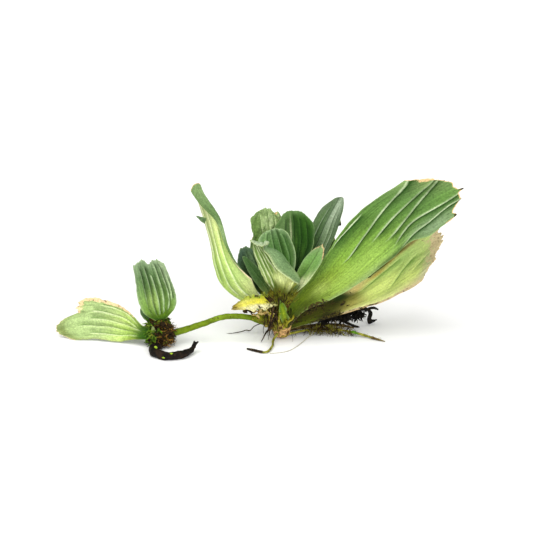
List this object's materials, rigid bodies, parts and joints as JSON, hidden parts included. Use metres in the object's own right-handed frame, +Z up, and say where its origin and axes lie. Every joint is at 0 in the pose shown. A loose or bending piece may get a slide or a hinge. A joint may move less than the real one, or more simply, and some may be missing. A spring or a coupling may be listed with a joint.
{
  "type": "water lettuce",
  "caption": "Water lettuce lifted out of its pond: a leaning rosette of velvety pleated leaves, joined by a runner to a young plantlet, with roots and dead stalks trailing.",
  "frame": {"origin": "on the flat underside of the mother crown's foot, on the surface that the plant lies on", "axes": "+X from the plantlet to the mother plant, +Y away from the side that the picture shows, +Z up"},
  "size_m": [0.1809, 0.0581, 0.0768],
  "materials": {
    "leaf_pale": "matt, finely hairy underside with raised veins",
    "leaf_fresh": "matt, velvety with fine hairs",
    "leaf_dark": "matt, velvety with fine hairs",
    "leaf_felted": "matt, felted with grey hairs",
    "leaf_old": "matt, dry and papery along the margins",
    "leaf_torn": "matt, spongy torn tissue",
    "runner": "slightly glossy, finely streaked",
    "crown": "rough, fibrous and damp",
    "root": "matt, fine",
    "dead_tissue": "rough and damp, nearly black"
  },
  "bodies": {
    "root": {"broad_right_leaf": "leaf_fresh", "crown": "crown", "curled_dead_stalk": "dead_tissue", "dark_back_leaf": "leaf_dark", "daughter_back_leaf": "leaf_dark", "daughter_crown": "dead_tissue", "daughter_lying_leaf": "leaf_pale", "daughter_scale": "leaf_pale", "daughter_upright_leaf": "leaf_felted", "dead_stalk": "dead_tissue", "feathery_root": "root", "folded_upper_leaf": "leaf_felted", "front_ridged_leaf": "leaf_pale", "front_root": "root", "green_scale": "leaf_fresh", "hidden_right_leaf": "leaf_fresh", "narrow_left_leaf": "leaf_fresh", "old_right_leaf": "leaf_old", "pale_back_leaf": "leaf_pale", "pleated_middle_leaf": "leaf_fresh", "rear_leaf": "leaf_fresh", "runner": "runner", "shaded_left_leaf": "leaf_dark", "side_root": "dead_tissue", "small_right_leaf": "leaf_felted", "tall_left_leaf": "leaf_pale", "thin_root": "dead_tissue", "torn_leaf_base": "leaf_torn", "wavy_root": "dead_tissue"}
  },
  "joints": []
}
